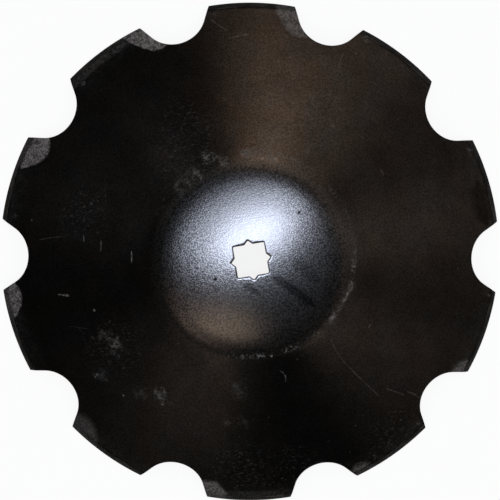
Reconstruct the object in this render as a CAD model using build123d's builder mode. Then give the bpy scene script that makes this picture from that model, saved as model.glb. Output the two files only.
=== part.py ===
from build123d import *
from math import acos, atan2, cos, degrees, radians, sin, sqrt
import os

# A notched harrow disc blade, pressed from one steel sheet: a flat centre with a star hole for a
# square axle, a rounded shoulder, a dished wall, and lobes left between the notches round the rim.
# Millimetres. The axle runs along Z through the origin, which lies on the inner hub face. The bulged
# side faces up, so the blade lies on its rim, and X and Y run square to the flats of the large axle.

# Pressed sheet
disc_diameter = 508.0  # across the lobes
thickness = 4.0
concavity = 63.5  # from the rim edge up to the inner hub face
flat_diameter = 166.0  # flat centre, where the spools clamp
shoulder_radius = 42.0  # inside bend from the flat centre to the dished wall

# Sharpened rim
bevel_width = 5.0  # outside bevel, in plan
edge_thickness = 1.2  # steel left at the cutting edge

# Star hole
large_axle = 28.575  # square axle across its flats
small_axle = 25.4  # square axle that fits turned by 45 degrees
axle_clearance = 0.5  # on each side of either axle
point_radius = 1.2  # in the points of the star
nose_radius = 1.5  # on the steel between two points
hole_edge_radius = 0.8  # pressed-over edge on the outer face

# Notches
notch_count = 10
notch_depth = 32.3  # from the rim circle to the notch bottom
notch_radius = 32.0  # rounded bottom
notch_flare = 32.0  # each flank from the radial line, degrees
notch_turn = -10.0  # first notch from the large axle's flats, degrees

# Flat ground on the leading corner of each lobe
grind_radius = 28.0  # reach of the flat, as a circle in plan
grind_along = 10.0  # its centre along the rim from the corner
grind_beyond = 6.0  # its centre beyond the rim
grind_spread = 60.0  # between the points that set the flat's plane, degrees

os.makedirs("parts", exist_ok=True)

rim_radius = disc_diameter / 2
flat_radius = flat_diameter / 2

# The wall runs straight from the bend to the rim edge and touches the bend, so its slope comes from the
# right angle between the wall and the bend's radius.
bend_centre = Vector(flat_radius, -shoulder_radius)
rim_edge = Vector(rim_radius, -concavity)
to_rim = rim_edge - bend_centre
wall_normal_angle = degrees(atan2(to_rim.Y, to_rim.X) + acos(shoulder_radius / to_rim.length))
wall_normal = Vector(1, 0).rotate(Axis.Z, wall_normal_angle)
wall_slope = wall_normal.X / wall_normal.Y
outer_wall_start = bend_centre + wall_normal * (shoulder_radius + thickness)

# The notch along +X: a rounded bottom with a straight flared flank on each side.
notch_centre = rim_radius - notch_depth + notch_radius
flank_start = Vector(
    notch_centre - notch_radius * sin(radians(notch_flare)),
    notch_radius * cos(radians(notch_flare)),
)
flank_direction = Vector(1, 0).rotate(Axis.Z, notch_flare)
past_rim = rim_radius + notch_radius
flank_end = flank_start + flank_direction * ((past_rim - flank_start.X) / flank_direction.X)

# The corner where the flank reaches the rim circle, and the middle of the flat ground on it.
along_flank = flank_start.dot(flank_direction)
to_corner = sqrt(along_flank**2 - flank_start.length**2 + rim_radius**2) - along_flank
lobe_corner = flank_start + flank_direction * to_corner
grind_angle = degrees(atan2(lobe_corner.Y, lobe_corner.X) + grind_along / rim_radius)
grind_centre = Vector(rim_radius + grind_beyond, 0).rotate(Axis.Z, grind_angle)


def on_outer_wall(plan):
    # The point of the outer wall above a point of the plan.
    return Vector(plan.X, plan.Y, outer_wall_start.Y - wall_slope * (plan.length - outer_wall_start.X))


# The ground flat passes through three points of the wall on its circle, so it is a shallow cut.
grind_points = [
    on_outer_wall(grind_centre - Vector(grind_radius, 0).rotate(Axis.Z, grind_angle + side * grind_spread))
    for side in (-1, 0, 1)
]
grind_x = grind_points[0] - grind_points[2]
grind_normal = grind_x.cross(grind_points[1] - grind_points[2])
grind_plane = Plane(grind_points[1], x_dir=grind_x, z_dir=grind_normal)

with BuildSketch() as notch:
    with BuildLine():
        notch_bottom = CenterArc((notch_centre, 0), notch_radius, 90 + notch_flare, 180 - 2 * notch_flare)
        Polyline(notch_bottom @ 0, flank_end, (flank_end.X, -flank_end.Y), notch_bottom @ 1)
    make_face()

with BuildPart() as disc_blade:
    # Pressed sheet with its bevelled rim
    with BuildSketch(Plane.XZ):
        with BuildLine():
            inner_flat = Line((0, 0), (flat_radius, 0))
            outer_flat = Line((0, thickness), (flat_radius, thickness))
            Line(inner_flat @ 0, outer_flat @ 0)
            inner_bend = CenterArc(bend_centre, shoulder_radius, 90, wall_normal_angle - 90)
            outer_bend = CenterArc(bend_centre, shoulder_radius + thickness, 90, wall_normal_angle - 90)
            bevel_start = on_outer_wall(Vector(rim_radius - bevel_width, 0))
            Polyline(
                inner_bend @ 1,
                rim_edge,
                rim_edge + Vector(0, edge_thickness),
                (bevel_start.X, bevel_start.Z),
                outer_bend @ 1,
            )
        make_face()
    revolve(axis=Axis.Z)

    # Star hole: one square for each axle, with rounded noses and points
    with BuildSketch() as star:
        Rectangle(large_axle + 2 * axle_clearance, large_axle + 2 * axle_clearance)
        Rectangle(small_axle + 2 * axle_clearance, small_axle + 2 * axle_clearance, rotation=45)
        fillet(star.vertices().sort_by_distance((0, 0, 0))[:8], nose_radius)
        fillet(star.vertices().sort_by_distance((0, 0, 0))[-8:], point_radius)
    extrude(amount=2 * thickness, both=True, mode=Mode.SUBTRACT)
    hub_face = disc_blade.faces().filter_by(Axis.Z).sort_by(Axis.Z)[-1]
    fillet(hub_face.inner_wires()[0].edges(), hole_edge_radius)

    # Notches round the rim
    with BuildSketch():
        with PolarLocations(0, notch_count, notch_turn):
            add(notch.sketch)
    extrude(amount=2 * concavity, both=True, mode=Mode.SUBTRACT)

    # Ground corner of each lobe
    with PolarLocations(0, notch_count, notch_turn):
        with Locations(grind_plane):
            Box(
                4 * grind_radius,
                4 * grind_radius,
                thickness,
                align=(Align.CENTER, Align.CENTER, Align.MIN),
                mode=Mode.SUBTRACT,
            )

disc_blade.part.label = "disc_blade"
export_step(disc_blade.part, "parts/disc_blade.step")
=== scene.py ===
import bpy
import math
import numpy as np
from mathutils import Matrix, Vector


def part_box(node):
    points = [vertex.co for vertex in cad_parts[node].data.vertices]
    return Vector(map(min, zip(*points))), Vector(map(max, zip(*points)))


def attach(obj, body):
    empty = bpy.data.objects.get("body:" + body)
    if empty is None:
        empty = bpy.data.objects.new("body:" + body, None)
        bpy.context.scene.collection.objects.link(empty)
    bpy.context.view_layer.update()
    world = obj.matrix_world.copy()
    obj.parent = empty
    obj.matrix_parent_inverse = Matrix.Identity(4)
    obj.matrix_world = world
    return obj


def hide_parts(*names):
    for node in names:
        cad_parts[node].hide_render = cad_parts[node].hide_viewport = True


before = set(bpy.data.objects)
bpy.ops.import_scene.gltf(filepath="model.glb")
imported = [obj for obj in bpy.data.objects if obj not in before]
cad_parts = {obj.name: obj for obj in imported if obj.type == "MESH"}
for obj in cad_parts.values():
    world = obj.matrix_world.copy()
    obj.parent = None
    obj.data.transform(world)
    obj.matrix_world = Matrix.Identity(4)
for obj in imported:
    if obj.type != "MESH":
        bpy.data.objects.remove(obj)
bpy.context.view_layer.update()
print("frame loaded")

lowCorner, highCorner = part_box("disc_blade")
millimetre = 0.001

# sizes in metres; the rim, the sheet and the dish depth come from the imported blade
blade = {
    "rim": min(highCorner.x, highCorner.y, -lowCorner.x, -lowCorner.y),
    "sheet": highCorner.z,
    "dishDepth": -lowCorner.z,
    "flat": 0.083,           # radius of the flat centre
    "bend": 0.042,           # inside bend at the shoulder
    "ease": 0.0040,          # how softly the flat runs into the bend
    "bevel": 0.005,          # sharpened band, in plan
    "land": 0.0012,          # steel left at the cutting edge
    "largeSquare": 0.0147875,  # half of each square of the star hole
    "smallSquare": 0.0132,
    "pointSharp": 29.0,      # power that rounds the points of a square
    "noseRound": 0.00018,    # rounds the steel between two points
    "holeLip": 0.0008,       # pressed-over edge of the hole
    "notches": 10,
    "notchTurn": math.radians(-10.0),
    "notchDepth": 0.0323,
    "notchRadius": 0.032,
    "notchFlare": math.radians(32.0),
    "edgeBreak": 0.0004,     # soft edge left by the shear
    "wave": 0.00012,         # how far the pressed wall wanders
    # its waves: count round the axle, phase, change of phase along the wall, share
    "waves": [(3, 0.6, 0, 1.0), (5, 2.1, 3, 0.8), (8, 4.0, -5, 0.6), (13, 1.0, 9, 0.4)],
}

# ground corner of each lobe, counted from the first notch: how far its flat reaches in from the rim, where
# its middle lies along the rim from the corner, half its width at the rim, how bare it is, and how bare
# its bevel is; both bare shares are partly painted light, set lobe by lobe to how bright each flat shows,
# so almost nil on the right-hand lobes
grind = {
    "reach": [0.020, 0.020, 0.035, 0.032, 0.030, 0.022, 0.026, 0.024, 0.018, 0.023],
    "along": [0.008, 0.008, -0.010, -0.012, 0.005, 0.008, 0.007, 0.001, 0.006, -0.003],
    "halfWidth": [0.026, 0.026, 0.035, 0.034, 0.033, 0.030, 0.033, 0.027, 0.022, 0.022],
    "bareAndLit": [0.03, 0.08, 0.72, 1.00, 0.92, 0.88, 0.42, 0.75, 0.68, 0.72],
    "edgeBareAndLit": [0.05, 0.05, 0.40, 1.00, 0.20, 0.30, 0.15, 0.45, 0.20, 0.25],
    "bevelOver": 1.04,       # the bevel's bare share, partly painted light, starts a little inside the bevel
}

grid = {
    "notchColumns": 48,
    "lobeColumns": 48,
    "holeRing": 0.030,       # circle where the star rows have become round
    "outerRing": 0.217,      # circle where the rows start to follow the notches
    "lipRows": 6,
    "topRows": [6, 6, 9, 15, 11, 2],   # star to ring, flat, bend, wall, notched part, bevel
    "underRows": [7, 8, 8, 4, 4],      # the same below, from the rim back to the star
    "sharp": math.radians(28),         # edges that turn further than this stay sharp
}

# the wall touches the bend and runs straight to the rim edge
rim = blade["rim"]
pitch = 2 * math.pi / blade["notches"]
toRim = np.array([rim - blade["flat"], blade["bend"] - blade["dishDepth"]])
wallNormal = math.atan2(toRim[1], toRim[0]) + math.acos(blade["bend"] / np.hypot(*toRim))
wallSlope = 1 / math.tan(wallNormal)
notchCentre = rim - blade["notchDepth"] + blade["notchRadius"]
flankX = notchCentre - blade["notchRadius"] * math.sin(blade["notchFlare"])
flankY = blade["notchRadius"] * math.cos(blade["notchFlare"])
flankCross = flankX * math.sin(blade["notchFlare"]) - flankY * math.cos(blade["notchFlare"])
cornerAngle = blade["notchFlare"] - math.asin(flankCross / rim)


# height of one face of the sheet: flat, then softly into a circle about the bend's centre, then the
# straight wall
def sheetHeight(radius, offset):
    bend = blade["bend"] + offset
    bendEnd = blade["flat"] + bend * math.cos(wallNormal)
    wallTop = bend * math.sin(wallNormal) - blade["bend"]
    past = blade["ease"] * np.log1p(np.exp((radius - blade["flat"]) / blade["ease"]))
    past = np.minimum(past, bend * math.cos(wallNormal))
    curve = np.sqrt(bend**2 - past**2) - blade["bend"]
    return np.where(radius > bendEnd, wallTop - wallSlope * (radius - bendEnd), curve)


# star hole: the larger of two squares, each a high-power norm of cosine and sine, joined by a soft maximum
def starRadius(angle):
    def square(half, turn):
        c = np.abs(np.cos(angle - turn))
        s = np.abs(np.sin(angle - turn))
        p = blade["pointSharp"]
        return half / (c**p + s**p) ** (1 / p)
    large = square(blade["largeSquare"], 0)
    small = square(blade["smallSquare"], math.pi / 4)
    k = blade["noseRound"]
    return np.maximum(large, small) + k * np.log1p(np.exp(-np.abs(large - small) / k))


# outline: the rim circle, cut by a notch arc near its axis and by a straight flank further out
def outlineRadius(angle):
    a = np.abs((angle - blade["notchTurn"] + pitch / 2) % pitch - pitch / 2)
    aArc = np.minimum(a, math.asin(blade["notchRadius"] / notchCentre))
    across = blade["notchRadius"] ** 2 - (notchCentre * np.sin(aArc)) ** 2
    arc = notchCentre * np.cos(aArc) - np.sqrt(np.maximum(across, 0))
    flank = flankCross / np.sin(blade["notchFlare"] - np.minimum(a, cornerAngle))
    cut = np.where(a < math.atan2(flankY, flankX), arc, flank)
    return np.where(a < cornerAngle, np.minimum(cut, rim), rim)


# ground flats: for each lobe a plane a little steeper than the wall, which meets it in a curve of the stated
# reach and width; gives the depth of the flat under the wall, and how bare the nearest one is, a share that
# is partly painted light
def grindDepth(x, y, wallHeight):
    depth = np.full(x.shape, -1.0)
    bareAndLit = np.zeros(x.shape)
    for k in range(blade["notches"]):
        middle = blade["notchTurn"] + pitch * k + cornerAngle + grind["along"][k] / rim
        start = rim - grind["reach"][k]
        steeper = 1 + grind["halfWidth"][k] ** 2 / (2 * rim * grind["reach"][k])
        out = x * math.cos(middle) + y * math.sin(middle)
        plane = sheetHeight(np.array(start), blade["sheet"]) - wallSlope * steeper * (out - start)
        under = wallHeight - plane
        onBevel = np.hypot(x, y) > rim - grind["bevelOver"] * blade["bevel"]
        bareAndLit = np.where(under > depth, np.where(onBevel, grind["edgeBareAndLit"][k], grind["bareAndLit"][k]), bareAndLit)
        depth = np.maximum(depth, under)
    return depth, bareAndLit


# slow wander of the pressed wall: a few waves round and along it, fading out at the flat and at the rim
def wallWander(radius, angle):
    along = np.clip((radius - blade["flat"]) / (rim - blade["flat"]), 0, 1)
    fade = np.sin(math.pi * along) ** 2
    waves = sum(share * np.sin(count * angle + phase + change * along)
                for count, phase, change, share in blade["waves"])
    return blade["wave"] * fade * waves


def columnAngles():
    inNotch = np.linspace(-cornerAngle, cornerAngle, grid["notchColumns"], endpoint=False)
    onLobe = np.linspace(cornerAngle, pitch - cornerAngle, grid["lobeColumns"], endpoint=False)
    sector = np.concatenate([inNotch, onLobe])
    turns = blade["notchTurn"] + pitch * np.arange(blade["notches"])
    return (turns[:, None] + sector[None, :]).ravel()


# blade surface: a closed profile, star lip to rim over the top and back below, carried round the axle;
# rows are radii that blend from the star to circles and from circles to the notched outline
def bladeMesh():
    angle = columnAngles()
    star = starRadius(angle)
    outline = outlineRadius(angle)
    lip = blade["holeLip"]
    breakEdge = blade["edgeBreak"]
    bevelStart = np.minimum(rim - blade["bevel"], outline - 3 * breakEdge)
    bendEnd = blade["flat"] + (blade["bend"] + blade["sheet"]) * math.cos(wallNormal)
    bevelDrop = sheetHeight(np.array(rim), blade["sheet"]) - (lowCorner.z + blade["land"])
    holeRing = np.full_like(angle, grid["holeRing"])
    outerRing = np.full_like(angle, grid["outerRing"])
    level = np.ones_like(angle)

    # radii from stop to stop, with a number of rows for each stretch
    def spread(stops, counts):
        return [a + (b - a) * t for a, b, count in zip(stops, stops[1:], counts)
                for t in np.linspace(0, 1, count + 1)[1:]]

    def topRow(radius):
        height = sheetHeight(radius, blade["sheet"])
        depth, bareAndLit = grindDepth(radius * np.cos(angle), radius * np.sin(angle), height)
        bevel = np.clip((radius - (rim - blade["bevel"])) / blade["bevel"], 0, 1) * bevelDrop
        height = height - np.maximum(bevel, np.maximum(depth, 0)) + wallWander(radius, angle)
        return radius, height, depth, bareAndLit, level

    rows = []  # radius, height, depth of the flat, its bareness with painted light, bulged side

    # lip of the hole: a quarter circle from the hole wall to the flat
    for t in np.linspace(0, math.pi / 2, grid["lipRows"]):
        lipRadius = star + lip * (1 - np.cos(t))
        lipHeight = (blade["sheet"] - lip * (1 - np.sin(t))) * level
        rows.append((lipRadius, lipHeight, -level, 0 * level, level))
    bends = [blade["flat"] * level, bendEnd * level]
    topStops = [star + lip, holeRing, *bends, outerRing, bevelStart, outline - breakEdge]
    rows += [topRow(radius) for radius in spread(topStops, grid["topRows"])]
    edgeStart = len(rows) - 1 - grid["topRows"][-1]  # first row of the sharpened band

    # outer edge: from the bulged face down to the hollow face, its corners broken a little
    top = topRow(outline)[1]
    under = sheetHeight(outline, 0) + wallWander(outline, angle)
    soft = np.minimum(breakEdge, (top - under) / 4)
    rows.append((outline, top - soft, -level, 0 * level, level))
    rows.append((outline, under + soft, -level, 0 * level, 0 * level))

    edgeEnd = len(rows)  # first row of the hollow face
    underStops = [outline - breakEdge, outerRing, *bends[::-1], holeRing, star + breakEdge]
    for radius in [underStops[0], *spread(underStops, grid["underRows"])]:
        height = sheetHeight(radius, 0) + wallWander(radius, angle)
        rows.append((radius, height, -level, 0 * level, 0 * level))
    rows.append((star, breakEdge * level, -level, 0 * level, 0 * level))

    radius, height, depth, bareAndLit, side = (np.array(part) for part in zip(*rows))
    points = np.stack([radius * np.cos(angle), radius * np.sin(angle), height], axis=-1)
    count, columns = radius.shape
    i = np.arange(count)[:, None]
    j = np.arange(columns)[None, :]
    steps = ((0, 0), (1, 0), (1, 1), (0, 1))
    corners = [((i + di) % count) * columns + (j + dj) % columns for di, dj in steps]
    quads = np.stack(corners, axis=-1).reshape(-1, 4)

    mesh = bpy.data.meshes.new("disc_blade_finish")
    mesh.from_pydata(points.reshape(-1, 3), [], quads)
    mesh.update()
    for name, values in (("groundDepth", depth / millimetre), ("bareAndLit", bareAndLit), ("bulged", side)):
        layer = mesh.attributes.new(name, "FLOAT", "POINT")
        layer.data.foreach_set("value", values.ravel().astype(np.float32))
    mesh.polygons.foreach_set("use_smooth", np.ones(len(mesh.polygons), bool))
    onEdge = np.repeat((i[:, 0] >= edgeStart) & (i[:, 0] < edgeEnd), columns)
    mesh.polygons.foreach_set("material_index", onEdge.astype(np.int32))
    mesh.set_sharp_from_angle(angle=grid["sharp"])
    return mesh


bladePiece = bpy.data.objects.new("disc_blade_finish", bladeMesh())
bpy.context.scene.collection.objects.link(bladePiece)
print("blade surface:", len(bladePiece.data.polygons), "quads")


# small helpers for shader trees
def node(tree, kind, **values):
    made = tree.nodes.new(kind)
    for key, value in values.items():
        setattr(made, key, value)
    return made


def feed(tree, socket, value):
    if isinstance(value, bpy.types.NodeSocket):
        tree.links.new(value, socket)
    else:
        socket.default_value = value


def calc(tree, operation, a, b=0.0, clamp=False):
    made = node(tree, "ShaderNodeMath", operation=operation, use_clamp=clamp)
    feed(tree, made.inputs[0], a)
    feed(tree, made.inputs[1], b)
    return made.outputs[0]


def times(tree, value, *others):
    for other in others:
        value = calc(tree, "MULTIPLY", value, other)
    return value


def most(tree, value, other):
    return calc(tree, "MAXIMUM", value, other)


def calcVector(tree, operation, a, b, result="Vector"):
    made = node(tree, "ShaderNodeVectorMath", operation=operation)
    feed(tree, made.inputs[0], a)
    feed(tree, made.inputs["Scale"] if operation == "SCALE" else made.inputs[1], b)
    return made.outputs[result]


def ramp(tree, value, low, high, bottom=0.0, top=1.0):
    made = node(tree, "ShaderNodeMapRange", interpolation_type="SMOOTHSTEP")
    names = ("Value", "From Min", "From Max", "To Min", "To Max")
    for name, given in zip(names, (value, low, high, bottom, top)):
        feed(tree, made.inputs[name], given)
    return made.outputs["Result"]


def noise(tree, place, scale, detail=2.0, roughness=0.5):
    made = node(tree, "ShaderNodeTexNoise")
    for name, given in (("Vector", place), ("Scale", scale), ("Detail", detail), ("Roughness", roughness)):
        feed(tree, made.inputs[name], given)
    return made.outputs["Fac"]


def blendColour(tree, share, a, b):
    made = node(tree, "ShaderNodeMix", data_type="RGBA")
    feed(tree, made.inputs[0], share)
    feed(tree, made.inputs[6], a)
    feed(tree, made.inputs[7], b)
    return made.outputs[2]


def attribute(tree, name):
    return node(tree, "ShaderNodeAttribute", attribute_name=name).outputs["Fac"]


def newGroup(name, inputs, outputs):
    tree = bpy.data.node_groups.new(name, "ShaderNodeTree")
    for title, kind in inputs:
        tree.interface.new_socket(name=title, in_out="INPUT", socket_type="NodeSocket" + kind)
    for title, kind in outputs:
        tree.interface.new_socket(name=title, in_out="OUTPUT", socket_type="NodeSocket" + kind)
    return tree, node(tree, "NodeGroupInput").outputs, node(tree, "NodeGroupOutput").inputs


def useGroup(tree, group, **given):
    made = node(tree, "ShaderNodeGroup", node_tree=group)
    for name, value in given.items():
        feed(tree, made.inputs[name], value)
    return made.outputs


# fixed numbers of the shader groups
brush = {
    "fineGrain": 2.3,        # how much finer the second grain of the scale is
    "fineShare": 0.2,
    "speckCore": 0.3,        # share of a speck, a stroke or a spot that is full
    "strokeCore": 0.25,
    "spotCore": 0.35,
    "strokeTip": 0.35,       # width of a stroke at its ends
    "strokeTaper": 0.5,      # bow at which it has its full width
    "strayScale": 130.0,     # noise that frays a ragged spot, and how far it does
    "strayReach": 2.6,
    "spotGrain": 760.0,      # fine grains of a ragged spot
    "spotGather": 0.16,      # how much thicker they lie in its middle
    "spotSpan": (0.54, 0.72),
    "spotHaze": 0.08,
}


# distance from the axle and the direction round it
def polarGroup():
    tree, given, made = newGroup(
        "axlePolar", [("Place", "Vector")], [("Radius", "Float"), ("Angle", "Float")])
    split = node(tree, "ShaderNodeSeparateXYZ")
    feed(tree, split.inputs[0], given["Place"])
    x, y = split.outputs["X"], split.outputs["Y"]
    square = calc(tree, "ADD", calc(tree, "MULTIPLY", x, x), calc(tree, "MULTIPLY", y, y))
    feed(tree, made["Radius"], calc(tree, "SQRT", square))
    feed(tree, made["Angle"], calc(tree, "ARCTAN2", y, x))
    return tree


# sandy grain of the scale: coarse grains with finer ones over them
def grainGroup():
    tree, given, made = newGroup(
        "sandGrain", [("Place", "Vector"), ("Scale", "Float")], [("Height", "Float")])
    coarse = noise(tree, given["Place"], given["Scale"], 1.0)
    fine = noise(tree, given["Place"], times(tree, given["Scale"], brush["fineGrain"]), 1.0)
    feed(tree, made["Height"], calc(tree, "ADD", coarse, times(tree, fine, brush["fineShare"])))
    return tree


# specks: small round dots, one in each cell of a share of the cells
def speckGroup():
    tree, given, made = newGroup(
        "specks",
        [("Place", "Vector"), ("Scale", "Float"), ("Share", "Float"), ("Dot", "Float")],
        [("Mask", "Float")])
    cells = node(tree, "ShaderNodeTexVoronoi")
    feed(tree, cells.inputs["Vector"], given["Place"])
    feed(tree, cells.inputs["Scale"], given["Scale"])
    split = node(tree, "ShaderNodeSeparateColor")
    feed(tree, split.inputs[0], cells.outputs["Color"])
    chosen = calc(tree, "LESS_THAN", split.outputs[0], given["Share"])
    size = times(tree, given["Dot"], split.outputs[1])
    dot = ramp(tree, cells.outputs["Distance"], size, times(tree, size, brush["speckCore"]))
    feed(tree, made["Mask"], times(tree, dot, chosen, split.outputs[2]))
    return tree


# stroke: a thin mark between two points, bowed to one side, that thins out at its ends
def strokeGroup():
    vectors = [(name, "Vector") for name in ("Place", "Start", "Along", "Aside")]
    tree, given, made = newGroup("stroke", vectors + [("Width", "Float")], [("Mask", "Float")])
    flat = calcVector(tree, "MULTIPLY", given["Place"], (1, 1, 0))
    fromStart = calcVector(tree, "SUBTRACT", flat, given["Start"])
    length = calcVector(tree, "DOT_PRODUCT", given["Along"], given["Along"], "Value")
    reached = calcVector(tree, "DOT_PRODUCT", fromStart, given["Along"], "Value")
    share = calc(tree, "DIVIDE", reached, length, True)
    bow = times(tree, share, calc(tree, "SUBTRACT", 1.0, share), 4.0)  # 1 in the middle of the stroke
    onLine = calcVector(tree, "SCALE", given["Along"], share)
    onCurve = calcVector(tree, "ADD", onLine, calcVector(tree, "SCALE", given["Aside"], bow))
    offset = calcVector(tree, "SUBTRACT", fromStart, onCurve)
    gap = calcVector(tree, "LENGTH", offset, (0, 0, 0), "Value")
    width = times(tree, given["Width"], ramp(tree, bow, 0.0, brush["strokeTaper"], brush["strokeTip"], 1.0))
    feed(tree, made["Mask"], ramp(tree, gap, width, times(tree, width, brush["strokeCore"])))
    return tree


# spot: a soft disc about a point, and a ragged one of fine grains that thin out from its middle
def spotGroup():
    tree, given, made = newGroup(
        "spot",
        [("Place", "Vector"), ("Centre", "Vector"), ("Reach", "Float")],
        [("Disc", "Float"), ("Grains", "Float")])

    def softDisc(place, middle):
        flat = calcVector(tree, "MULTIPLY", place, (1, 1, 0))
        offset = calcVector(tree, "SUBTRACT", flat, given["Centre"])
        gap = calcVector(tree, "LENGTH", offset, (0, 0, 0), "Value")
        return ramp(tree, calc(tree, "DIVIDE", gap, given["Reach"]), 1.0, middle)

    stray = node(tree, "ShaderNodeTexNoise")
    feed(tree, stray.inputs["Vector"], given["Place"])
    feed(tree, stray.inputs["Scale"], brush["strayScale"])
    feed(tree, stray.inputs["Detail"], 3.0)
    aside = calcVector(tree, "SUBTRACT", stray.outputs["Color"], (0.5, 0.5, 0.5))
    aside = calcVector(tree, "SCALE", aside, times(tree, given["Reach"], brush["strayReach"]))
    ragged = softDisc(calcVector(tree, "ADD", given["Place"], aside), 0.0)
    fine = noise(tree, given["Place"], brush["spotGrain"], 2.0, 0.6)
    fine = calc(tree, "ADD", fine, times(tree, ragged, brush["spotGather"]))
    grains = ramp(tree, fine, *brush["spotSpan"], brush["spotHaze"], 1.0)
    feed(tree, made["Disc"], softDisc(given["Place"], brush["spotCore"]))
    feed(tree, made["Grains"], times(tree, grains, ragged))
    return tree


# ground steel; depths under the wall in millimetres
groundLook = {
    "light": (0.140, 0.130, 0.128, 1),
    "dark": (0.020, 0.0185, 0.0185, 1),
    "roughness": 0.55,
    "raggedScale": 170.0,    # noise that frays the flat's border, and its depth
    "raggedDepth": 0.14,
    "leastBareAndLit": 0.2,
    "softBorder": 0.40,      # depth over which the border fades where the bare share, partly painted light, is least
    "crispBorder": 0.08,     # and where that share is full
    "cloudScale": 130.0,
    "cloudShare": 0.3,
    "mottleScale": 480.0,
    "mottleSpan": (0.52, 0.78),
}


# ground steel: a soft mask where the flat lies under the wall, scaled by its bare share that is partly
# painted light, and its mottled colour
def groundGroup():
    tree, given, made = newGroup(
        "groundSteel",
        [("Place", "Vector"), ("Dark", "Color"), ("Light", "Color")],
        [("Mask", "Float"), ("Colour", "Color")])
    look = groundLook
    bareAndLitShare = attribute(tree, "bareAndLit")
    ragged = calc(tree, "SUBTRACT", noise(tree, given["Place"], look["raggedScale"], 3.0, 0.7), 0.5)
    ragged = times(tree, ragged, look["raggedDepth"])
    border = ramp(tree, bareAndLitShare, look["leastBareAndLit"], 1.0, look["softBorder"], look["crispBorder"])
    onFlat = ramp(tree, calc(tree, "ADD", attribute(tree, "groundDepth"), ragged), 0.0, border)
    clouds = times(tree, noise(tree, given["Place"], look["cloudScale"], 2.0), look["cloudShare"])
    mottle = calc(tree, "ADD", clouds, noise(tree, given["Place"], look["mottleScale"], 2.0, 0.7))
    mottle = ramp(tree, mottle, *look["mottleSpan"])
    feed(tree, made["Mask"], times(tree, onFlat, bareAndLitShare))
    feed(tree, made["Colour"], blendColour(tree, mottle, given["Dark"], given["Light"]))
    return tree


# black scale; lengths in metres, colours as linear shares: it is a dark metal, so its colours are how much
# it mirrors
coat = {
    "peakDark": (0.0435, 0.0435, 0.0445, 1),   # dull and bright grains kept close where the lamp's highlight and the warm reflection fall
    "peakLight": (0.0535, 0.0525, 0.0515, 1),
    "hubDark": (0.021, 0.021, 0.022, 1),       # on the rest of the flat
    "hubLight": (0.079, 0.078, 0.076, 1),
    "wallDark": (0.030, 0.030, 0.030, 1),      # on the wall
    "wallLight": (0.063, 0.061, 0.059, 1),
    "wallStart": (0.080, 0.100),               # radii where the flat's look gives way to the wall's
    "brownCast": (1.04, 1.00, 0.95, 1),
    "blueCast": (0.96, 1.00, 1.04, 1),
    "patchGain": (0.85, 1.15),                 # dullest and brightest patches of the wall
    "grainScale": 680.0,
    "grainSpan": (0.40, 0.80),                 # heights of the dull and the bright grains
    "grainDepth": 0.000024,
    "roughness": 0.135,
    "dullMost": 0.04,                          # what the dullest patches add to it
    "pit": (0.002, 0.002, 0.002, 1),
}

# print of the clamped spool, a little off the axle; directions from the axle in degrees
ring = {
    "centre": (0.002, 0.005, 0),
    "radius": 0.0965,
    "half": 0.0042,
    "strength": 0.95,
    "shown": 10.0,                             # middle of the side that shows it
    "shownSpan": (-0.75, -0.35),               # cosines where it comes into sight
    "rubbed": 28.0,                            # middle of the stretch that is rubbed thin
    "rubbedSpan": (0.80, 0.95),
    "rubbedShare": 0.3,
}

# dust and bright marks on the bulged side; lengths in metres
dirt = {
    "dust": (0.075, 0.072, 0.068, 1),
    "mark": (0.20, 0.19, 0.18, 1),
    "streakLeast": 0.35,                       # what the gaps in streaks and scratches keep
    "drawnOut": (0.55, 1.3, 1.0),              # stretch of the grains that lie in streaks
    "drawnStrength": 0.45,
    "wallSpecks": {"Scale": 110.0, "Share": 0.30, "Dot": 0.12},
    "rimSpecks": {"Scale": 300.0, "Share": 0.12, "Dot": 0.30},
    "rimSpeckStart": (0.19, 0.24),
    "rimSpeckStrength": 0.30,
    "veil": (0.03, 0.13),                      # thinnest and thickest haze by the rim
    "veilStart": (0.226, 0.249),
    "bandIn": 0.0085,                          # middle of the pale bands, in from the rim
    "bandHalf": (0.0060, 0.0015),
    "wornLineHalf": (0.0009, 0.0002),          # bright line where the bevel starts
    "wornLineStrength": 0.35,
}

# noise patterns: scale, detail, roughness, and the noise levels where a soft step starts and ends
patterns = {
    "cast": (24.0, 3.0, 0.5, 0.38, 0.62),
    "patches": (30.0, 5.0, 0.65, 0.32, 0.68),
    "dull": (38.0, 3.0, 0.5, 0.30, 0.70),
    "streaks": (300.0, 3.0, 0.6, 0.38, 0.60),
    "drawnGrains": (420.0, 2.0, 0.65, 0.52, 0.74),
    "ringPatches": (55.0, 3.0, 0.6, 0.38, 0.58),
    "ringGrains": (400.0, 2.0, 0.6, 0.44, 0.64),
    "veil": (140.0, 4.0, 0.75, 0.38, 0.68),
    "bevelWear": (45.0, 3.0, 0.5, 0.42, 0.62),
    "rust": (70.0, 4.0, 0.7, 0.45, 0.70),
}


def pattern(tree, place, name, bottom=0.0, top=1.0):
    scale, detail, roughness, low, high = patterns[name]
    return ramp(tree, noise(tree, place, scale, detail, roughness), low, high, bottom, top)


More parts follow.
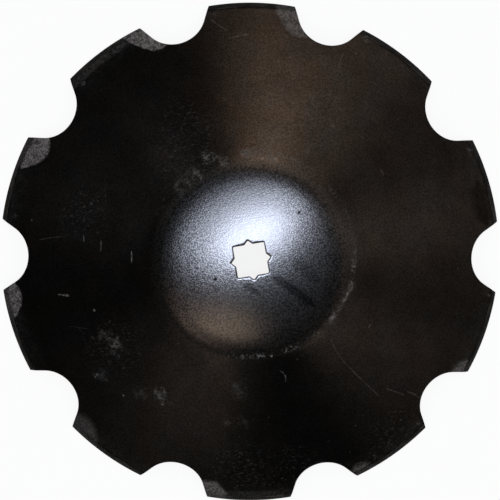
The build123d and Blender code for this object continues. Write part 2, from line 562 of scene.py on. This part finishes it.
# scratches in plan, in millimetres: start, end, bow to the left, width, strength
scratches = [
    ((62.2, -87.0), (74.2, -116.8), -1.6, 0.7, 0.26),
    ((74.2, -116.8), (103.2, -158.4), -0.3, 0.7, 0.28),
    ((9.1, -109.3), (13.1, -121.8), 2.4, 0.7, 0.55),
    ((110.3, -151.3), (129.1, -163.6), 0.6, 0.9, 0.30),
    ((131.7, -159.8), (145.6, -171.1), 1.0, 0.9, 0.28),
    ((15.8, 215.6), (34.9, 216.6), 0.3, 0.8, 0.40),
    ((0.8, 239.1), (15.7, 223.8), -0.8, 0.8, 0.32),
    ((124.4, 183.6), (116.1, 168.1), -0.5, 0.7, 0.22),
    ((-110.4, 27.0), (-112.0, 16.5), 0.2, 1.0, 0.65),
    ((-139.0, 41.5), (-141.0, 31.5), 0.2, 1.0, 0.52),
    ((-156.0, 49.5), (-157.0, 43.0), 0.2, 0.9, 0.45),
    ((-204.1, 52.0), (-174.0, 50.8), 0.8, 0.7, 0.22),
    ((-193.5, -4.2), (-187.0, -6.0), 0.3, 1.0, 0.60),
    ((-188.0, -5.0), (-181.5, -6.8), -0.3, 1.7, 0.80),
    ((138.0, 63.5), (139.5, 57.0), 0.2, 0.9, 0.25),
    ((124.0, 99.5), (127.0, 94.5), 0.1, 0.9, 0.22),
    ((98.5, 113.0), (100.5, 110.0), 0.0, 1.0, 0.25),
    ((67.0, 186.6), (73.0, 186.4), 0.0, 0.9, 0.30),
    ((103.1, -81.8), (100.7, -84.3), 0.0, 1.0, 0.30),
    ((89.4, -35.0), (90.3, -42.0), 0.6, 1.3, 0.40),
    ((90.3, -41.0), (83.3, -49.3), -0.6, 1.6, 0.45),
    ((84.5, -48.0), (78.7, -53.3), 0.5, 1.8, 0.40),
    ((66.0, -69.0), (67.5, -66.5), 0.0, 1.6, 0.60),
    ((-180.3, -37.1), (-174.1, -48.1), 0.3, 0.6, 0.16),
    ((-189.0, -37.1), (-166.5, -42.8), 0.6, 0.6, 0.14),
]

# blotches of dust in plan, in millimetres: centre, reach, strength
blotches = [
    ((-153.0, -49.5), 9.0, 0.50),
    ((-144.5, -62.0), 15.0, 0.80),
    ((-166.4, -90.5), 11.0, 0.35),
    ((-110.5, -118.5), 15.0, 0.80),
    ((-109.6, -126.7), 4.0, 1.00),
    ((-129.0, -114.0), 10.0, 0.35),
    ((-33.0, -122.5), 13.0, 0.40),
    ((-49.5, -155.0), 8.0, 0.45),
    ((-34.0, -157.0), 10.0, 0.35),
    ((66.7, -67.7), 5.0, 0.90),
    ((89.9, -38.0), 6.0, 0.80),
    ((84.8, -45.7), 7.0, 0.75),
    ((79.0, -51.4), 6.0, 0.90),
    ((73.2, -57.1), 5.0, 0.45),
    ((-22.8, 103.5), 9.0, 0.85),
    ((-8.9, 95.2), 9.0, 0.75),
    ((-36.0, 86.6), 9.0, 0.80),
    ((-46.2, 82.7), 7.0, 0.60),
    ((-54.2, 74.5), 9.0, 0.50),
    ((11.6, 98.4), 8.0, 0.90),
    ((32.2, 91.1), 8.0, 0.90),
    ((-128.0, 93.0), 14.0, 0.16),
    ((69.0, 118.0), 4.0, 0.50),
    ((-135.7, 197.9), 5.0, 0.90),
    ((6.1, 241.8), 5.0, 0.60),
    ((151.3, 192.7), 7.0, 0.70),
    ((236.2, 67.6), 6.0, 0.60),
    ((230.6, -81.1), 5.0, 0.70),
    ((-225.4, 79.1), 5.0, 0.60),
    ((138.6, -198.8), 6.0, 0.55),
    ((109.6, -212.4), 6.0, 0.40),
    ((90.7, -225.4), 6.0, 0.45),
]

# chips, bright and round, in plan, in millimetres: centre, reach, strength
chips = [
    ((-36.4, -86.7), 1.5, 0.22),
    ((-29.1, -88.9), 1.6, 0.20),
    ((-23.6, -90.8), 2.0, 0.25),
    ((-16.0, -91.1), 1.8, 0.24),
    ((-8.4, -91.9), 1.6, 0.28),
    ((-2.7, -92.4), 1.7, 0.30),
    ((3.9, -93.1), 1.8, 0.60),
    ((17.5, -92.1), 1.5, 0.18),
    ((28.6, -89.1), 1.5, 0.16),
    ((-158.6, -24.3), 1.8, 0.55),
    ((-169.6, -89.3), 1.6, 0.50),
    ((-147.2, -113.8), 1.6, 0.45),
    ((66.9, -66.7), 2.4, 0.45),
    ((26.6, 92.0), 1.6, 0.30),
    ((38.6, 89.6), 2.2, 0.35),
    ((8.8, 98.9), 2.0, 0.25),
    ((-24.8, 102.9), 2.0, 0.25),
    ((-150.5, 76.6), 1.5, 0.25),
    ((-142.9, 78.2), 1.8, 0.30),
    ((-152.7, 89.8), 1.4, 0.20),
    ((-127.6, 83.4), 1.5, 0.18),
]

# places where dust lies in streaks, in millimetres: centre, reach
speckled = [
    ((-152.0, 68.0), 36.0),
    ((-45.0, -212.0), 48.0),
    ((5.0, -225.0), 45.0),
    ((118.0, -206.0), 42.0),
    ((-147.0, -62.0), 40.0),
    ((-45.0, 100.0), 45.0),
    ((70.0, 130.0), 60.0),
    ((-38.0, 132.0), 40.0),
]

# darker streaks, given as scratches are: four that run from the hole and one by the rim
darkStreaks = [
    ((18.7, -19.7), (51.5, -52.5), 1.0, 6.5, 0.60),
    ((-10.3, -21.8), (2.7, -33.6), 0.5, 4.5, 0.52),
    ((39.3, -7.0), (57.6, -29.3), 1.0, 9.0, 0.30),
    ((63.3, -38.5), (71.9, -44.1), 0.0, 5.0, 0.25),
    ((238.0, 34.0), (240.6, -6.6), -1.0, 14.0, 0.55),
]

# places of the flat where the grain is evened, laid where the lamp's highlight and the warm reflection fall,
# and pits in it, in millimetres: centre, reach, strength
evenGrainSpots = [((4.9, 31.3), 62.0, 1.0), ((-34.1, -56.8), 46.0, 0.50)]
pits = [((-36.1, -12.1), 2.6, 0.95), ((51.9, 36.6), 2.2, 0.95)]

# pale bands beside the bevel: direction from the axle and half span in degrees, strength
paleRimBands = [(117.0, 13.0, 0.40), (259.0, 13.0, 0.30), (75.0, 9.0, 0.16)]


def strokeMask(tree, stroke, place, marks):
    total = 0.0
    for (startX, startY), (endX, endY), bow, width, strength in marks:
        start = Vector((startX, startY, 0)) * millimetre
        along = Vector((endX - startX, endY - startY, 0)) * millimetre
        aside = Vector((-along.y, along.x, 0)).normalized() * bow * millimetre
        line = useGroup(
            tree, stroke, Place=place, Start=start, Along=along, Aside=aside, Width=width * millimetre)
        total = most(tree, total, times(tree, line["Mask"], strength))
    return total


def spotMask(tree, spot, place, output, marks):
    total = 0.0
    for (x, y), reach, strength in marks:
        centre = Vector((x, y, 0)) * millimetre
        blot = useGroup(tree, spot, Place=place, Centre=centre, Reach=reach * millimetre)
        total = most(tree, total, times(tree, blot[output], strength))
    return total


groundSteel = groundGroup()


def blackCoat():
    material = bpy.data.materials.new("black_scale")
    material.use_nodes = True
    tree = material.node_tree
    shader = tree.nodes["Principled BSDF"]
    place = node(tree, "ShaderNodeTexCoord").outputs["Object"]
    polar = useGroup(tree, polarGroup(), Place=place)
    radius, angle = polar["Radius"], polar["Angle"]
    bulged = attribute(tree, "bulged")
    grain = useGroup(tree, grainGroup(), Place=place, Scale=coat["grainScale"])["Height"]
    specks = speckGroup()
    stroke = strokeGroup()
    spot = spotGroup()

    # cosine of the turn from a direction, and how near one length is to another
    def facing(direction):
        return calc(tree, "COSINE", calc(tree, "SUBTRACT", angle, math.radians(direction)))

    def near(length, middle, outer, inner):
        return ramp(tree, calc(tree, "ABSOLUTE", calc(tree, "SUBTRACT", length, middle)), outer, inner)

    # scale: bright and dull grains, furthest apart on the flat away from where the highlight's grain is
    # evened, and slow patches
    share = ramp(tree, grain, *coat["grainSpan"])
    evenGrain = spotMask(tree, spot, place, "Disc", evenGrainSpots)
    onWall = ramp(tree, radius, *coat["wallStart"])
    dark = blendColour(tree, evenGrain, coat["hubDark"], coat["peakDark"])
    light = blendColour(tree, evenGrain, coat["hubLight"], coat["peakLight"])
    dark = blendColour(tree, onWall, dark, coat["wallDark"])
    light = blendColour(tree, onWall, light, coat["wallLight"])
    colour = blendColour(tree, share, dark, light)
    cast = blendColour(tree, pattern(tree, place, "cast"), coat["blueCast"], coat["brownCast"])
    patches = pattern(tree, place, "patches", *coat["patchGain"])
    wallColour = calcVector(tree, "MULTIPLY", calcVector(tree, "SCALE", colour, patches), cast)
    colour = blendColour(tree, onWall, colour, wallColour)
    darkening = strokeMask(tree, stroke, place, darkStreaks)
    colour = calcVector(tree, "SCALE", colour, calc(tree, "SUBTRACT", 1.0, darkening))
    colour = blendColour(tree, spotMask(tree, spot, place, "Disc", pits), colour, coat["pit"])

    # dust: drawn-out grains in some places, sparse specks on the whole wall, and blotches of fine grains
    areas = spotMask(tree, spot, place, "Disc", [(middle, reach, 1.0) for middle, reach in speckled])
    streaks = pattern(tree, place, "streaks", dirt["streakLeast"])
    drawnOut = calcVector(tree, "MULTIPLY", place, dirt["drawnOut"])
    many = times(tree, pattern(tree, drawnOut, "drawnGrains"), streaks)
    few = useGroup(tree, specks, Place=place, **dirt["wallSpecks"])["Mask"]
    dust = most(tree, times(tree, many, areas, dirt["drawnStrength"]), few)
    dust = times(tree, dust, onWall)
    dust = most(tree, dust, spotMask(tree, spot, place, "Grains", blotches))

    # print of the spool: a dotted ring, missing on one side and rubbed thin beside it
    plan = calcVector(tree, "MULTIPLY", place, (1, 1, 0))
    fromCentre = calcVector(tree, "SUBTRACT", plan, ring["centre"])
    fromCentre = calcVector(tree, "LENGTH", fromCentre, (0, 0, 0), "Value")
    onRing = near(fromCentre, ring["radius"], ring["half"], 0.0)
    shown = ramp(tree, facing(ring["shown"]), *ring["shownSpan"])
    rubbed = ramp(tree, facing(ring["rubbed"]), *ring["rubbedSpan"], 1.0, ring["rubbedShare"])
    dots = times(tree, pattern(tree, place, "ringPatches"), pattern(tree, place, "ringGrains"))
    dust = most(tree, dust, times(tree, onRing, shown, rubbed, dots, ring["strength"]))

    # haze and pale bands by the rim
    veil = pattern(tree, place, "veil", *dirt["veil"])
    dust = most(tree, dust, times(tree, veil, ramp(tree, radius, *dirt["veilStart"])))
    nearBevel = near(radius, rim - dirt["bandIn"], *dirt["bandHalf"])
    for direction, halfSpan, strength in paleRimBands:
        ends = [math.cos(math.radians(span)) for span in (halfSpan, halfSpan / 2)]
        band = ramp(tree, facing(direction), *ends)
        dust = most(tree, dust, times(tree, band, nearBevel, streaks, strength))

    # bright marks: broken scratches, chips, specks by the rim and a worn line where the bevel starts
    marks = times(tree, strokeMask(tree, stroke, place, scratches), streaks)
    marks = most(tree, marks, spotMask(tree, spot, place, "Disc", chips))
    rimSpecks = useGroup(tree, specks, Place=place, **dirt["rimSpecks"])["Mask"]
    rimSpecks = times(tree, rimSpecks, ramp(tree, radius, *dirt["rimSpeckStart"]), dirt["rimSpeckStrength"])
    marks = most(tree, marks, rimSpecks)
    wornLine = near(radius, rim - blade["bevel"], *dirt["wornLineHalf"])
    wornLine = times(tree, wornLine, pattern(tree, place, "bevelWear"), dirt["wornLineStrength"])
    marks = most(tree, marks, wornLine)
    dust = times(tree, dust, bulged)
    marks = times(tree, marks, bulged)
    colour = blendColour(tree, dust, colour, dirt["dust"])
    colour = blendColour(tree, marks, colour, dirt["mark"])

    # ground corners: matte mottled steel, lighter where its bare share paints light, its border softer where
    # that share is lower
    ground = useGroup(tree, groundSteel, Place=place, Dark=groundLook["dark"], Light=groundLook["light"])
    bareAndLit = ground["Mask"]
    colour = blendColour(tree, bareAndLit, colour, ground["Colour"])

    matte = most(tree, bareAndLit, most(tree, dust, marks))
    duller = pattern(tree, place, "dull", 0.0, coat["dullMost"])
    worn = calc(tree, "ADD", coat["roughness"], times(tree, duller, onWall))
    feed(tree, shader.inputs["Base Color"], colour)
    feed(tree, shader.inputs["Metallic"], calc(tree, "SUBTRACT", 1.0, matte, True))
    feed(tree, shader.inputs["Roughness"], ramp(tree, matte, 0.0, 1.0, worn, groundLook["roughness"]))
    bump = node(tree, "ShaderNodeBump")
    feed(tree, bump.inputs["Distance"], coat["grainDepth"])
    feed(tree, bump.inputs["Height"], grain)
    feed(tree, shader.inputs["Normal"], bump.outputs["Normal"])
    return material


# cut edges and the sharpened band: dull black, with a little brown in places
edge = {
    "black": (0.0115, 0.0107, 0.0100, 1),
    "brown": (0.0310, 0.0270, 0.0235, 1),
    "roughness": 0.5,
    "mirror": 0.012,
}


def dullEdge():
    material = bpy.data.materials.new("cut_edge")
    material.use_nodes = True
    tree = material.node_tree
    shader = tree.nodes["Principled BSDF"]
    place = node(tree, "ShaderNodeTexCoord").outputs["Object"]
    colour = blendColour(tree, pattern(tree, place, "rust"), edge["black"], edge["brown"])
    # ground corners reach the sharpened band too; their bare share is partly painted light
    ground = useGroup(tree, groundSteel, Place=place, Dark=groundLook["dark"], Light=groundLook["light"])
    feed(tree, shader.inputs["Base Color"], blendColour(tree, ground["Mask"], colour, ground["Colour"]))
    shader.inputs["Roughness"].default_value = edge["roughness"]
    shader.inputs["Specular IOR Level"].default_value = edge["mirror"]
    return material


bladePiece.data.materials.append(blackCoat())
bladePiece.data.materials.append(dullEdge())
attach(bladePiece, "root")
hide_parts("disc_blade")
print("blade coated")

# camera: above the bulged side, a little off the axle, as the photograph was taken
view = {
    "distance": 0.850,                # from the rim plane
    "tilt": (0.0573, 0.0093),         # radians about the picture's right and up
    "shift": (0.00031, -0.00572),     # of the axle, in the picture's plane
    "turn": math.radians(9.7),        # how far the large square is turned in the picture
    "lens": 60.0,
    "sensor": 36.0,
    "clip": 0.01,
}


def addCamera():
    data = bpy.data.cameras.new("camera")
    data.lens = view["lens"]
    data.sensor_width = view["sensor"]
    data.clip_start = view["clip"]
    camera = bpy.data.objects.new("camera", data)
    rx, ry = view["tilt"]
    tilt = Matrix.Rotation(ry, 3, "Y") @ Matrix.Rotation(rx, 3, "X")
    turn = Matrix.Rotation(-view["turn"], 3, "Z")
    away = Vector((-view["shift"][0], -view["shift"][1], view["distance"]))
    axes = turn @ tilt.transposed()
    place = axes @ away + Vector((0, 0, lowCorner.z))
    camera.matrix_world = Matrix.Translation(place) @ axes.to_4x4()
    bpy.context.scene.collection.objects.link(camera)
    bpy.context.scene.camera = camera


addCamera()

# floor, a large pale sheet under the rim, with the world and a dim room round it
studio = {
    "floorHalf": 6.0,      # half its side
    "floorColour": (0.15, 0.15, 0.15, 1),
    "floorRoughness": 0.9,
    "floorMirror": 0.1,
    "floorGlow": 0.86,
    "ambient": 0.65,
    "surround": 3.0,       # radius of the dim room round the blade
    "roomColumns": 120,
    "roomRows": 30,
    "roomGlow": 0.038,
}


# 1 where the camera, a mirror image or a view through glass sees the surface, 0 for other light
def seenShare(tree):
    path = node(tree, "ShaderNodeLightPath")
    seen = calc(tree, "ADD", path.outputs["Is Camera Ray"], path.outputs["Is Glossy Ray"])
    return calc(tree, "ADD", seen, path.outputs["Is Transmission Ray"], True)


def addFloor():
    corners = np.array([[-1, -1, 0], [1, -1, 0], [1, 1, 0], [-1, 1, 0]]) * studio["floorHalf"]
    corners += [0, 0, lowCorner.z]
    mesh = bpy.data.meshes.new("floor")
    mesh.from_pydata(corners, [], [(0, 1, 2, 3)])
    floor = bpy.data.objects.new("floor", mesh)
    bpy.context.scene.collection.objects.link(floor)
    material = bpy.data.materials.new("pale_floor")
    material.use_nodes = True
    tree = material.node_tree
    shader = tree.nodes["Principled BSDF"]
    shader.inputs["Base Color"].default_value = studio["floorColour"]
    shader.inputs["Roughness"].default_value = studio["floorRoughness"]
    shader.inputs["Specular IOR Level"].default_value = studio["floorMirror"]
    shader.inputs["Emission Color"].default_value = (1, 1, 1, 1)
    feed(tree, shader.inputs["Emission Strength"], times(tree, seenShare(tree), studio["floorGlow"]))
    mesh.materials.append(material)


def addWorld():
    world = bpy.data.worlds.new("studio")
    bpy.context.scene.world = world
    world.use_nodes = True
    tree = world.node_tree
    background = tree.nodes["Background"]
    background.inputs["Color"].default_value = (1, 1, 1, 1)
    strength = ramp(tree, seenShare(tree), 0.0, 1.0, studio["ambient"], 1.0)
    feed(tree, background.inputs["Strength"], strength)


# soft lights on the wall of the room: direction in the picture, height above the floor, half width and half
# height, all in degrees, then glow and tint
roomLights = [
    (82, 53, 16, 19, 1.78, (1.0, 0.69, 0.50)),
    (56, 50, 20, 26, 0.60, (1.0, 0.76, 0.60)),
    (8, 50, 18, 26, 0.54, (1.0, 0.78, 0.63)),
    (326, 44, 16, 20, 0.34, (1.0, 0.78, 0.63)),
    (250, 42, 17, 12, 0.40, (1.0, 0.80, 0.66)),
    (130, 46, 15, 9, 0.18, (1.0, 0.86, 0.80)),
    (165, 38, 20, 7, 0.10, (1.0, 0.86, 0.80)),
    (312, 44, 9, 9, 0.20, (1.0, 0.80, 0.66)),
    (45, 68, 55, 13, 0.20, (1.0, 0.85, 0.75)),
    (0, 66, 1000, 16, 0.05, (1.0, 0.95, 0.95)),
    (240, 72, 14, 9, 1.20, (1.0, 0.74, 0.60)),
    (88, 74, 22, 10, 0.28, (1.0, 0.78, 0.64)),
    (6, 76, 24, 10, 0.20, (1.0, 0.85, 0.75)),
    (120, 74, 20, 10, 0.14, (1.0, 0.92, 0.90)),
    (150, 70, 18, 10, 0.12, (1.0, 0.92, 0.90)),
    (222, 46, 14, 14, 0.10, (1.0, 0.82, 0.76)),
    (258, 38, 8, 9, 0.08, (1.0, 0.80, 0.66)),
    (240, 50, 18, 10, 0.05, (1.0, 0.80, 0.66)),
    (308, 48, 12, 10, 0.20, (1.0, 0.82, 0.70)),
    (306, 42, 8, 8, 0.12, (1.0, 0.82, 0.70)),
]


# dim room that the scale mirrors: a dome whose glow is the sum of soft lights, each a bell curve of the two
# angles
def addRoom():
    columns, rows = studio["roomColumns"], studio["roomRows"]
    around = np.linspace(0, 360, columns, endpoint=False)[None, :] + np.zeros((rows, 1))
    up = np.linspace(0, 90, rows, endpoint=False)[:, None] + np.zeros((1, columns))
    glow = np.full((rows, columns, 3), studio["roomGlow"])
    for middle, height, halfWidth, halfHeight, strength, tint in roomLights:
        aside = (around - middle + 180) % 360 - 180
        lobe = strength * np.exp(-((aside / halfWidth) ** 2) - ((up - height) / halfHeight) ** 2)
        glow += lobe[..., None] * np.array(tint)
    turned, raised = np.radians(around) - view["turn"], np.radians(up)
    flat = np.cos(raised)
    points = np.stack([flat * np.cos(turned), flat * np.sin(turned), np.sin(raised)], axis=-1).reshape(-1, 3)
    points = np.vstack([points, [[0, 0, 1]]]) * studio["surround"] + [0, 0, lowCorner.z]
    colours = np.vstack([glow.reshape(-1, 3), np.full((1, 3), studio["roomGlow"])])
    i = np.arange(rows - 1)[:, None] * columns
    j = np.arange(columns)[None, :]
    after = (j + 1) % columns
    quads = np.stack([i + j, i + columns + j, i + columns + after, i + after], axis=-1)
    last = (rows - 1) * columns
    cap = [(last + n, rows * columns, last + (n + 1) % columns) for n in range(columns)]
    mesh = bpy.data.meshes.new("room")
    mesh.from_pydata(points, [], quads.reshape(-1, 4).tolist() + cap)
    layer = mesh.attributes.new("glow", "FLOAT_COLOR", "POINT")
    colours = np.hstack([colours, np.ones((len(colours), 1))])
    layer.data.foreach_set("color", colours.ravel().astype(np.float32))
    room = bpy.data.objects.new("room", mesh)
    bpy.context.scene.collection.objects.link(room)
    material = bpy.data.materials.new("room_wall")
    material.use_nodes = True
    tree = material.node_tree
    tree.nodes.remove(tree.nodes["Principled BSDF"])
    light = node(tree, "ShaderNodeEmission")
    shown = node(tree, "ShaderNodeAttribute", attribute_name="glow")
    feed(tree, light.inputs["Color"], shown.outputs["Color"])
    feed(tree, tree.nodes["Material Output"].inputs["Surface"], light.outputs[0])
    mesh.materials.append(material)
    # only the scale's mirror image shows the room; the camera and the light from the world pass through it
    room.visible_camera = room.visible_diffuse = room.visible_transmission = room.visible_shadow = False


# lamps near the camera: direction in the picture and height above the floor in degrees, distance in metres,
# width and height in metres, turn in degrees, glow of the lamp's face and its tint
lamps = {
    "flash": (-53.8, 88.73, 1.033, (0.18, 0.088), 27, 26.8, (0.75, 0.82, 1.0)),
    "flashScreen": (-71.1, 89.71, 1.034, (0.29, 0.163), 27, 9.1, (0.75, 0.82, 1.0)),
    "warmCard": (-103.0, 77.50, 1.057, (0.15, 0.09), 0, 2.7, (1.0, 0.75, 0.57)),
}


def addLamps():
    hub = Vector((0, 0, blade["sheet"]))
    right = Vector((math.cos(view["turn"]), -math.sin(view["turn"]), 0))
    for name, (around, up, distance, size, roll, glow, tint) in lamps.items():
        light = bpy.data.lights.new(name, "AREA")
        light.shape = "ELLIPSE"
        light.size, light.size_y = size
        area = size[0] * size[1] * math.pi / 4
        light.energy = glow * math.pi * area  # power of a face that glows evenly
        light.color = tint
        lamp = bpy.data.objects.new(name, light)
        around = math.radians(around) - view["turn"]
        up = math.radians(up)
        direction = Vector((math.cos(up) * math.cos(around), math.cos(up) * math.sin(around), math.sin(up)))
        across = (right - direction * right.dot(direction)).normalized()
        axes = Matrix((across, direction.cross(across), direction)).transposed()
        axes = axes @ Matrix.Rotation(math.radians(roll), 3, "Z")
        lamp.matrix_world = Matrix.Translation(hub + direction * distance) @ axes.to_4x4()
        bpy.context.scene.collection.objects.link(lamp)


addFloor()
addWorld()
addRoom()
addLamps()
bpy.context.scene.view_settings.view_transform = "Standard"
print("studio set")
